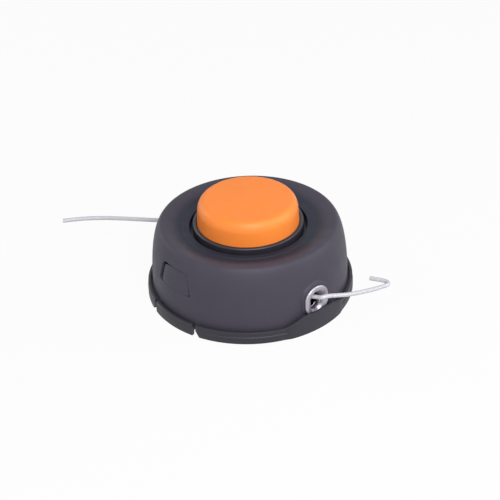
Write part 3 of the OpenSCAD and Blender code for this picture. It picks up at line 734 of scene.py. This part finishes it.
def make_flange_ring():
    """The flange ring as four sections between the slots beside the latches, with closed ends. The
    slots flare away from the latches."""
    h = housing_sizes()
    latch = cover_sizes().latch_angle
    cuts = np.array([latch - h.slot_angle, latch + h.slot_angle])
    cuts = np.concatenate([cuts, cuts + np.pi, cuts[:1] + 2 * np.pi])
    sections = []
    for start, end, flare in zip(cuts[:-1], cuts[1:], (0.3 * MM, h.slot_flare) * 2):
        points, faces = make_flange_section(start, end, flare)
        sections.append((points, faces))
        rows, columns = points.shape[:2]
        loop = np.arange(columns)
        for row, order in ((0, loop), (rows - 1, loop[::-1])):
            end_points = points[row]
            middle = end_points.mean(axis=0, keepdims=True)
            fan = np.stack([np.full(columns, columns), order, np.roll(order, -1)], axis=1)
            sections.append((np.concatenate([end_points, middle]), fan))
    return sections


def make_housing_floor():
    """Floor, drive boss, groove and post as one closed profile turned about Z."""
    h = housing_sizes()
    s = cover_sizes()
    inner = s.foot_r - s.wall_t - 0.2 * MM
    profile = softened(
        [
            (h.passage_r, h.boss_z), (h.boss_r, h.boss_z), (h.boss_r, h.floor_under),
            (h.ring_in_r + 0.1 * MM, h.floor_under), (h.ring_in_r + 0.1 * MM, h.groove_z), (inner, h.groove_z),
            (inner, h.floor_z), (h.post_r, h.floor_z), (h.post_r, h.post_top), (h.post_in_r, h.post_top),
            (h.post_in_r, 4.2 * MM), (h.passage_r, 4.2 * MM),
        ],
        0.5 * MM, 3, True,
    )
    angles = np.radians(np.arange(0, 360, 2.5))
    return turned(profile, angles), grid_faces(len(angles), len(profile), True, True)


def make_ribs():
    """Radial ribs of the underside, and the round rib as a closed profile turned about Z."""
    h = housing_sizes()
    count = 12
    spokes = radial_blocks(
        count, np.pi / count, h.boss_r - 0.5 * MM, h.ring_in_r + 0.5 * MM, h.rib_t, h.rib_z, h.floor_under + 0.5 * MM
    )
    r0, r1 = h.round_rib_r - h.rib_t / 2, h.round_rib_r + h.rib_t / 2
    top = h.floor_under + 0.5 * MM
    profile = softened([(r0, h.rib_z), (r1, h.rib_z), (r1, top), (r0, top)], 0.25 * MM, 2, True)
    angles = np.radians(np.arange(0, 360, 2.5))
    return spokes, (turned(profile, angles), grid_faces(len(angles), len(profile), True, True))


def make_saddles():
    """Blocks under the eyelets: the saddle inside the cover's notch and its foot behind the lug."""
    e = eyelet_sizes()
    h = housing_sizes()
    width = 14 * MM
    return (
        radial_blocks(
            2, 0, e.inner + 0.3 * MM, e.back - 0.4 * MM, width, h.floor_z - 0.5 * MM, e.level - e.drop - e.body_r
        ),
        radial_blocks(
            2, 0, e.back - 1 * MM, h.lug_in_r - 0.1 * MM, width, h.groove_z, e.level - e.drop - e.lip_r - 0.2 * MM
        ),
    )


def make_stops(first, low, high):
    """Stops or cogs of the ratchet, spaced evenly about Z."""
    s = spool_sizes()
    return radial_blocks(12, math.radians(first), s.cog_r, s.cog_r + s.cog_l, 5 * MM, low, high)


def make_eyelet(direction):
    """Metal bushing as a closed profile carried round an upright oval: barrel, flange with a rolled edge,
    and mouths rounded as quarter circles. The lower half of each turn lies lower by the drop, and that of
    the bore by the bore's own drop."""
    e = eyelet_sizes()
    t = np.linspace(0, np.pi / 2, 13)
    mouth = np.stack([e.bore_r + e.flare * (1 - np.cos(t)), e.face - e.flare * (1 - np.sin(t))], axis=1)
    edge_r = 0.8 * MM
    edge = np.stack([e.lip_r - edge_r * (1 - np.sin(t)), e.face - edge_r * (1 - np.cos(t))], axis=1)
    back = np.array(
        [
            (e.lip_r, e.back + 0.2 * MM), (e.lip_r - 0.2 * MM, e.back), (e.body_r, e.back),
            (e.body_r, e.inner + 0.5 * MM), (e.body_r - 0.4 * MM, e.inner), (e.bore_r + 1.1 * MM, e.inner),
        ]
    )
    inner = np.stack([e.bore_r + 1.1 * MM * (1 - np.sin(t)), e.inner + 1.1 * MM * (1 - np.cos(t))], axis=1)[1:]
    profile = np.concatenate([mouth, edge, back, inner])
    upper = np.radians(np.arange(0, 181, 3.0))
    angles = np.concatenate([upper, upper + np.pi])[:, None]
    outer = np.concatenate([mouth[:, 0] * 0, edge[:, 0] * 0 + 1, back[:, 0] * 0 + 1, inner[:, 0] * 0])
    drop = np.repeat([0, 1], len(upper))[:, None] * np.where(outer > 0, e.drop, e.bore_drop)
    r, x = profile[:, 0], profile[:, 1]
    points = np.stack(
        [direction * (x + 0 * angles), r * np.cos(angles), e.level - drop + r * np.sin(angles)], axis=-1
    )
    faces = grid_faces(len(angles), len(profile), True, True)
    return points, faces if direction < 0 else faces[:, ::-1]


def make_knob():
    """Knob as a closed profile turned about Z: a side that leans in a little, a quarter ellipse at the
    edge, a low crown, and the inside a wall's thickness behind."""
    s = spool_sizes()
    t = np.linspace(0, np.pi / 2, 25)
    middle_r = s.knob_r - s.knob_draft - s.edge_w
    middle_z = s.knob_top - s.crown - s.edge_h
    outside = np.stack([middle_r + s.edge_w * np.cos(t), middle_z + s.edge_h * np.sin(t)], axis=1)
    u = np.linspace(0, 1, 11)[1:]
    top = np.stack([middle_r * (1 - u), s.knob_top - s.crown * (1 - u) ** 2], axis=1)
    wall_w, wall_h = s.edge_w - s.knob_t, s.edge_h - s.knob_t
    inside = np.stack([middle_r + wall_w * np.cos(t[::-2]), middle_z + wall_h * np.sin(t[::-2])], axis=1)
    ceiling = np.array([(0, middle_z + wall_h), (middle_r * 0.5, middle_z + wall_h)])
    foot = np.array(
        [(s.knob_r - s.knob_t, s.plate_top), (s.knob_r - 0.4 * MM, s.plate_top), (s.knob_r, s.plate_top + 0.4 * MM)]
    )
    side = np.array([(s.knob_r, s.collar_top - 1 * MM), (s.knob_r, s.collar_top)])
    profile = np.concatenate([foot, side, outside, top, ceiling, inside])
    angles = np.radians(np.arange(0, 360, 2.0))
    return turned(profile, angles), grid_faces(len(angles), len(profile), True, True)


def make_knob_legs():
    """Snap legs under the knob, and the ribs under its top."""
    s = spool_sizes()
    ceiling = s.knob_top - s.crown - s.knob_t
    hook = s.leg_r + 1.2 * MM
    return (
        radial_blocks(4, 0, s.leg_r - 2 * MM, s.leg_r, 8 * MM, s.plate_top - 5 * MM, ceiling + 0.5 * MM),
        radial_blocks(4, 0, s.leg_r - 0.5 * MM, hook, 8 * MM, s.plate_top - 3.4 * MM, s.plate_top - 2.2 * MM),
        radial_blocks(8, math.radians(22.5), 12 * MM, 24 * MM, 1.8 * MM, ceiling - 6 * MM, ceiling + 0.5 * MM),
    )


def make_spool():
    """Spool as a closed profile turned about Z: sleeve, drum, flanges, plate and collar."""
    s = spool_sizes()
    rim, plate = s.rim_z, s.plate_top
    guide_r, pocket_r, sleeve_r, drum_in_r = 12.3 * MM, 15 * MM, 17.2 * MM, s.drum_r - 2.2 * MM
    shoulder, under = plate - 8.6 * MM, plate - 2 * MM
    outline = [
        (guide_r, shoulder), (pocket_r, shoulder), (pocket_r, rim), (sleeve_r, rim), (sleeve_r, under),
        (drum_in_r, under), (drum_in_r, rim),
        (s.rim_r, rim), (s.rim_r, rim + 1.8 * MM), (s.drum_r, rim + 1.8 * MM), (s.drum_r, rim + 11.4 * MM),
        (s.rim_r - 1 * MM, rim + 11.4 * MM), (s.rim_r - 1 * MM, rim + 12.8 * MM), (s.drum_r, rim + 12.8 * MM),
        (s.drum_r, plate - 2 * MM), (s.rim_r, plate - 2 * MM), (s.rim_r, plate), (s.collar_r, plate),
        (s.collar_r, s.collar_top - 0.6 * MM), (s.collar_r - 0.6 * MM, s.collar_top),
        (s.knob_r + 0.5 * MM, s.collar_top), (s.knob_r + 0.2 * MM, s.collar_top - 0.5 * MM),
        (s.knob_r + 0.2 * MM, plate), (guide_r, plate),
    ]
    profile = softened(outline, 0.35 * MM, 4, True)
    angles = np.radians(np.arange(0, 360, 2.0))
    return turned(profile, angles), grid_faces(len(angles), len(profile), True, True)


def make_spring():
    """Coil of round wire. At the share u of its turns the middle of the wire is at (R cos a, R sin a, rise)
    with a = 2 pi turns u, and a circle of the wire's radius stands there across the coil. The first and
    the last turn lie nearly flat, and their ends are closed."""
    s = spool_sizes()
    low, high = np.asarray(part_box("spring"), float)
    wire = s.wire_d / 2
    coil_r = high[0] - wire
    bottom, top = low[2] + wire, high[2] - wire
    turns, lay = 7, s.wire_d + 0.1 * MM
    u = np.linspace(0, 1, turns * 40 + 1)
    rise = np.interp(u, [0, 1 / turns, 1 - 1 / turns, 1], [bottom, bottom + lay, top - lay, top])[:, None]
    a = (2 * np.pi * turns * u)[:, None]
    ring = np.linspace(0, 2 * np.pi, 12, endpoint=False)[None, :]
    r = coil_r + wire * np.cos(ring)
    points = np.stack([r * np.cos(a), r * np.sin(a), rise + wire * np.sin(ring)], axis=-1)
    rows, columns = points.shape[:2]
    loop = np.arange(columns)
    parts = [(points, grid_faces(rows, columns, False, True))]
    for row, order in ((0, loop[::-1]), (rows - 1, loop)):
        fan = np.stack([np.full(columns, columns), order, np.roll(order, -1)], axis=1)
        parts.append((np.concatenate([points[row], points[row].mean(axis=0, keepdims=True)]), fan))
    return parts


# Operators


class StageOperator(bpy.types.Operator):
    """Camera at the photograph's angle, soft lamps, white floor and backdrop"""

    bl_idname = "trimmer.stage"
    bl_label = "Stage"

    def execute(self, context):
        add_camera()
        add_lamps()
        add_backdrop()
        return {"FINISHED"}


def add_camera():
    """Camera on the line from the aim point: azimuth 51.2 degrees, 32.55 degrees up, 0.9 m away."""
    azimuth, elevation, roll, away = math.radians(51.2), math.radians(32.55), math.radians(2.2), 0.9
    camera = bpy.data.cameras.new("Camera")
    camera.sensor_width = 36
    camera.lens = PX_PER_MM / MM * away / PHOTO_PX * camera.sensor_width
    camera.shift_x = (PHOTO_PX / 2 - AIM_PX[0]) / PHOTO_PX
    camera.shift_y = (AIM_PX[1] - PHOTO_PX / 2) / PHOTO_PX
    camera.clip_start, camera.clip_end = 0.01, 20
    eye = bpy.data.objects.new("Camera", camera)
    bpy.context.scene.collection.objects.link(eye)
    flat = math.cos(elevation)
    eye.location = (
        away * flat * math.sin(azimuth),
        -away * flat * math.cos(azimuth),
        0.03 + away * math.sin(elevation),
    )
    eye.rotation_mode = "XYZ"
    look = bpy.context.scene.camera = eye
    turn = (
        matrix_about("Z", azimuth) @ matrix_about("X", math.pi / 2 - elevation) @ matrix_about("Z", -roll)
    )
    look.rotation_euler = turn.to_euler()


def matrix_about(axis, angle):
    from mathutils import Matrix

    return Matrix.Rotation(angle, 3, axis)


def add_lamp(name, place, aim, size, power):
    """A square soft lamp that faces a point."""
    from mathutils import Vector

    lamp = bpy.data.lights.new(name, "AREA")
    lamp.size = size
    lamp.energy = power
    holder = bpy.data.objects.new(name, lamp)
    bpy.context.scene.collection.objects.link(holder)
    holder.location = place
    holder.rotation_euler = (Vector(aim) - Vector(place)).to_track_quat("-Z", "Y").to_euler()
    return holder


def add_lamps():
    """A wide lamp above and in front, a weaker one on each side, and a pale surrounding."""
    toward = np.array([math.sin(math.radians(51.2)), -math.cos(math.radians(51.2))])
    right = np.array([-toward[1], toward[0]])
    aim = (0, 0, 0.03)
    front = toward * 0.75 + right * 0.15
    add_lamp("Front lamp", (*front, 0.75), aim, 0.7, 11.0)
    side = right * -0.75 - toward * 0.45
    add_lamp("Left lamp", (*side, 0.4), aim, 0.4, 1.7)
    side = right * -0.7 + toward * 0.5
    add_lamp("Left front lamp", (*side, 0.3), aim, 0.4, 0.8)
    side = right * 0.8 + toward * 0.1
    add_lamp("Right lamp", (*side, 0.4), aim, 0.4, 3.2)
    world = bpy.data.worlds.new("Surrounding")
    bpy.context.scene.world = world
    world.use_nodes = True
    tree = world.node_tree
    light = tree.nodes["Background"]
    light.inputs["Color"].default_value = (1, 1, 1, 1)
    light.inputs["Strength"].default_value = 0.24
    seen = tree.nodes.new("ShaderNodeBackground")
    seen.inputs["Color"].default_value = (1, 1, 1, 1)
    mix = tree.nodes.new("ShaderNodeMixShader")
    node_link(tree, background_rays(tree), "Value", mix, 0)
    tree.links.new(light.outputs[0], mix.inputs[1])
    tree.links.new(seen.outputs[0], mix.inputs[2])
    tree.links.new(mix.outputs[0], tree.nodes["World Output"].inputs["Surface"])


def add_backdrop():
    """White floor that runs far behind the head."""
    floor = bpy.data.meshes.new("Floor")
    reach = 3.0
    floor.from_pydata([(-reach, -reach, 0), (reach, -reach, 0), (reach, reach, 0), (-reach, reach, 0)], [], [(0, 1, 2, 3)])
    floor.materials.append(floor_finish("White floor", colours().backdrop))
    plane = bpy.data.objects.new("Floor", floor)
    bpy.context.scene.collection.objects.link(plane)
    plane.location.z = -0.0002


def background_rays(tree):
    """Node that says 1 for the rays that show the background: the camera's, and those that metal and glass send on."""
    path = tree.nodes.new("ShaderNodeLightPath")
    total = path.outputs["Is Camera Ray"]
    for name in ("Is Glossy Ray", "Is Transmission Ray"):
        add = tree.nodes.new("ShaderNodeMath")
        add.operation = "ADD"
        add.use_clamp = True
        tree.links.new(total, add.inputs[0])
        node_link(tree, path, name, add, 1)
        total = add.outputs["Value"]
    return add


def floor_finish(name, colour):
    """White floor: mostly its own plain white to the camera, with a share of shaded white for the shadow."""
    material, tree, shader, place = finish_start(name, [c * 0.6 for c in colour], 0.95)
    shader.inputs["Specular IOR Level"].default_value = 0.0
    glow = tree.nodes.new("ShaderNodeEmission")
    glow.inputs["Color"].default_value = (*colour, 1)
    share = tree.nodes.new("ShaderNodeMath")
    share.operation = "MULTIPLY"
    share.inputs[1].default_value = 0.94
    node_link(tree, background_rays(tree), "Value", share, 0)
    mix = tree.nodes.new("ShaderNodeMixShader")
    node_link(tree, share, "Value", mix, 0)
    tree.links.new(shader.outputs[0], mix.inputs[1])
    tree.links.new(glow.outputs[0], mix.inputs[2])
    tree.links.new(mix.outputs[0], tree.nodes["Material Output"].inputs["Surface"])
    return material


class LineOperator(bpy.types.Operator):
    """The two free line ends"""

    bl_idname = "trimmer.lines"
    bl_label = "Line ends"

    def execute(self, context):
        add_line("line_right", RIGHT_ROUTE, "line_tail_right")
        add_line("line_left", LEFT_ROUTE, "line_tail_left")
        return {"FINISHED"}


def add_line(name, route, node):
    """A line end as a round tube along its smooth route."""
    s = spool_sizes()
    points = smooth_route(route, 5)
    curve = bpy.data.curves.new(name, "CURVE")
    curve.dimensions = "3D"
    curve.bevel_depth = s.line_d / 2
    curve.bevel_resolution = 5
    curve.use_fill_caps = True
    spline = curve.splines.new("POLY")
    spline.points.add(len(points) - 1)
    spline.points.foreach_set("co", np.column_stack([points, np.ones(len(points))]).ravel())
    spline.use_smooth = True
    curve.materials.append(FINISHES["line"])
    piece = bpy.data.objects.new(name, curve)
    bpy.context.scene.collection.objects.link(piece)
    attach(piece, "head")
    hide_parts(node)


class CoverOperator(bpy.types.Operator):
    """Cover with its windows, eyelet bosses, lip and upper stops"""

    bl_idname = "trimmer.cover"
    bl_label = "Cover"

    def execute(self, context):
        s = spool_sizes()
        shell = add_piece("cover_shell", [make_cover()], FINISHES["cover"], "head", ["cover"])
        add_soft_edges(add_wall(shell, cover_sizes().wall_t), 0.25 * MM, clamp=False)
        stops = make_stops(7.6, s.plate_top + 0.3 * MM, s.plate_top + 3 * MM)
        piece = add_piece("cover_stops", [stops], FINISHES["cover"], "head", ["cover"])
        add_soft_edges(piece, 0.3 * MM)
        return {"FINISHED"}


class HousingOperator(bpy.types.Operator):
    """Base housing: flange ring, floor, ribs, saddles, latches and lower stops"""

    bl_idname = "trimmer.housing"
    bl_label = "Base housing"

    def execute(self, context):
        s = cover_sizes()
        h = housing_sizes()
        nylon, slot, body, node = FINISHES["housing"], "housing_plastic", "head", ["base_housing"]
        add_soft_edges(add_piece("flange_ring", make_flange_ring(), nylon, body, node), 0.15 * MM)
        add_piece("housing_floor", [make_housing_floor()], nylon, body, node)
        add_soft_edges(add_piece("underside_ribs", make_ribs(), nylon, body, node), 0.25 * MM)
        add_soft_edges(add_piece("eyelet_saddles", make_saddles(), nylon, body, node), 0.4 * MM)
        stops = make_stops(22.6, h.floor_z - 0.5 * MM, h.floor_z + 3 * MM)
        add_soft_edges(add_piece("housing_stops", [stops], nylon, body, node), 0.3 * MM)
        sides = (window_axis(), window_axis() - np.pi)
        pads = add_piece("latch_pads", [make_latch_pad(a) for a in sides], FINISHES["cover"], body, node)
        add_soft_edges(add_wall(pads, s.wall_t + 1 * MM), 0.2 * MM, clamp=False)
        tongues = add_piece("latch_tongues", [make_latch_tongue(a) for a in sides], nylon, body, node)
        add_soft_edges(add_wall(tongues, 2 * MM), 0.3 * MM)
        return {"FINISHED"}


class EyeletOperator(bpy.types.Operator):
    """The two metal line eyelets"""

    bl_idname = "trimmer.eyelets"
    bl_label = "Eyelets"

    def execute(self, context):
        for name, direction in (("eyelet_right", 1), ("eyelet_left", -1)):
            add_piece(
                "bushing_" + name[7:], [make_eyelet(direction)], FINISHES["eyelet"], "head", [name]
            )
        return {"FINISHED"}


class SpoolOperator(bpy.types.Operator):
    """Spool with its collar and cogs"""

    bl_idname = "trimmer.spool"
    bl_label = "Spool"

    def execute(self, context):
        s = spool_sizes()
        nylon, slot = FINISHES["spool"], "spool_plastic"
        add_piece("spool_shell", [make_spool()], nylon, "spool", ["spool"])
        cogs = [
            make_stops(0, s.plate_top - 0.5 * MM, s.plate_top + 1.2 * MM),
            make_stops(0, s.rim_z - 3 * MM, s.rim_z + 0.5 * MM),
            radial_blocks(8, math.radians(22.5), 16.7 * MM, 28.3 * MM, 1.6 * MM, s.rim_z + 3 * MM, s.plate_top - MM),
        ]
        add_soft_edges(add_piece("spool_cogs", cogs, nylon, "spool", ["spool"]), 0.3 * MM)
        return {"FINISHED"}


class KnobOperator(bpy.types.Operator):
    """Bump knob with its snap legs"""

    bl_idname = "trimmer.knob"
    bl_label = "Bump knob"

    def execute(self, context):
        add_piece("knob_cap", [make_knob()], FINISHES["knob"], "spool", ["bump_knob"])
        legs = add_piece("knob_legs", make_knob_legs(), FINISHES["knob"], "spool", ["bump_knob"])
        add_soft_edges(legs, 0.3 * MM)
        return {"FINISHED"}


class SpringOperator(bpy.types.Operator):
    """Spring as a coil of round wire, sized to the CAD spring"""

    bl_idname = "trimmer.spring"
    bl_label = "Spring"

    def execute(self, context):
        coil = add_piece("spring_coil", make_spring(), FINISHES["steel"], "head", ["spring"])
        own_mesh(coil)
        return {"FINISHED"}


class InsideOperator(bpy.types.Operator):
    """Finishes on the inner pieces that keep their CAD shape"""

    bl_idname = "trimmer.inside"
    bl_label = "Inner pieces"

    def execute(self, context):
        finishes = {
            "drive_nut": "steel", "spring_seat_washer": "steel", "thrust_washer": "steel",
            "wound_line_lower": "line", "wound_line_upper": "line",
        }
        for node, finish in finishes.items():
            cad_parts[node].data.materials.clear()
            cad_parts[node].data.materials.append(FINISHES[finish])
        return {"FINISHED"}


class TrimmerPanel(bpy.types.Panel):
    """Sizes and colours of the head, and the steps that build it"""

    bl_idname = "VIEW3D_PT_trimmer"
    bl_label = "Trimmer head"
    bl_space_type = "VIEW_3D"
    bl_region_type = "UI"
    bl_category = "Trimmer head"

    def draw(self, context):
        for name in SETTINGS:
            group = getattr(context.scene, name)
            box = self.layout.box()
            for setting in group.bl_rna.properties.keys():
                if setting not in ("rna_type", "name"):
                    box.prop(group, setting)
        for operator in OPERATORS:
            self.layout.operator(operator.bl_idname)


SETTINGS = {
    "trimmer_housing": HousingSizes,
    "trimmer_cover": CoverSizes,
    "trimmer_eyelets": EyeletSizes,
    "trimmer_spool": SpoolSizes,
    "trimmer_colours": HeadColours,
}
OPERATORS = [
    StageOperator, LineOperator, CoverOperator, HousingOperator, EyeletOperator, SpoolOperator, KnobOperator,
    SpringOperator, InsideOperator,
]


def register():
    for group in (*SETTINGS.values(), *OPERATORS, TrimmerPanel):
        bpy.utils.register_class(group)
    for name, group in SETTINGS.items():
        setattr(bpy.types.Scene, name, bpy.props.PointerProperty(type=group))


def unregister():
    for name in SETTINGS:
        delattr(bpy.types.Scene, name)
    for group in (TrimmerPanel, *reversed(OPERATORS), *reversed(SETTINGS.values())):
        bpy.utils.unregister_class(group)


def main():
    register()
    bpy.context.scene.view_settings.view_transform = "Standard"
    make_finishes()
    for operator in OPERATORS:
        group, action = operator.bl_idname.split(".")
        getattr(getattr(bpy.ops, group), action)()


if __name__ == "__main__":
    main()
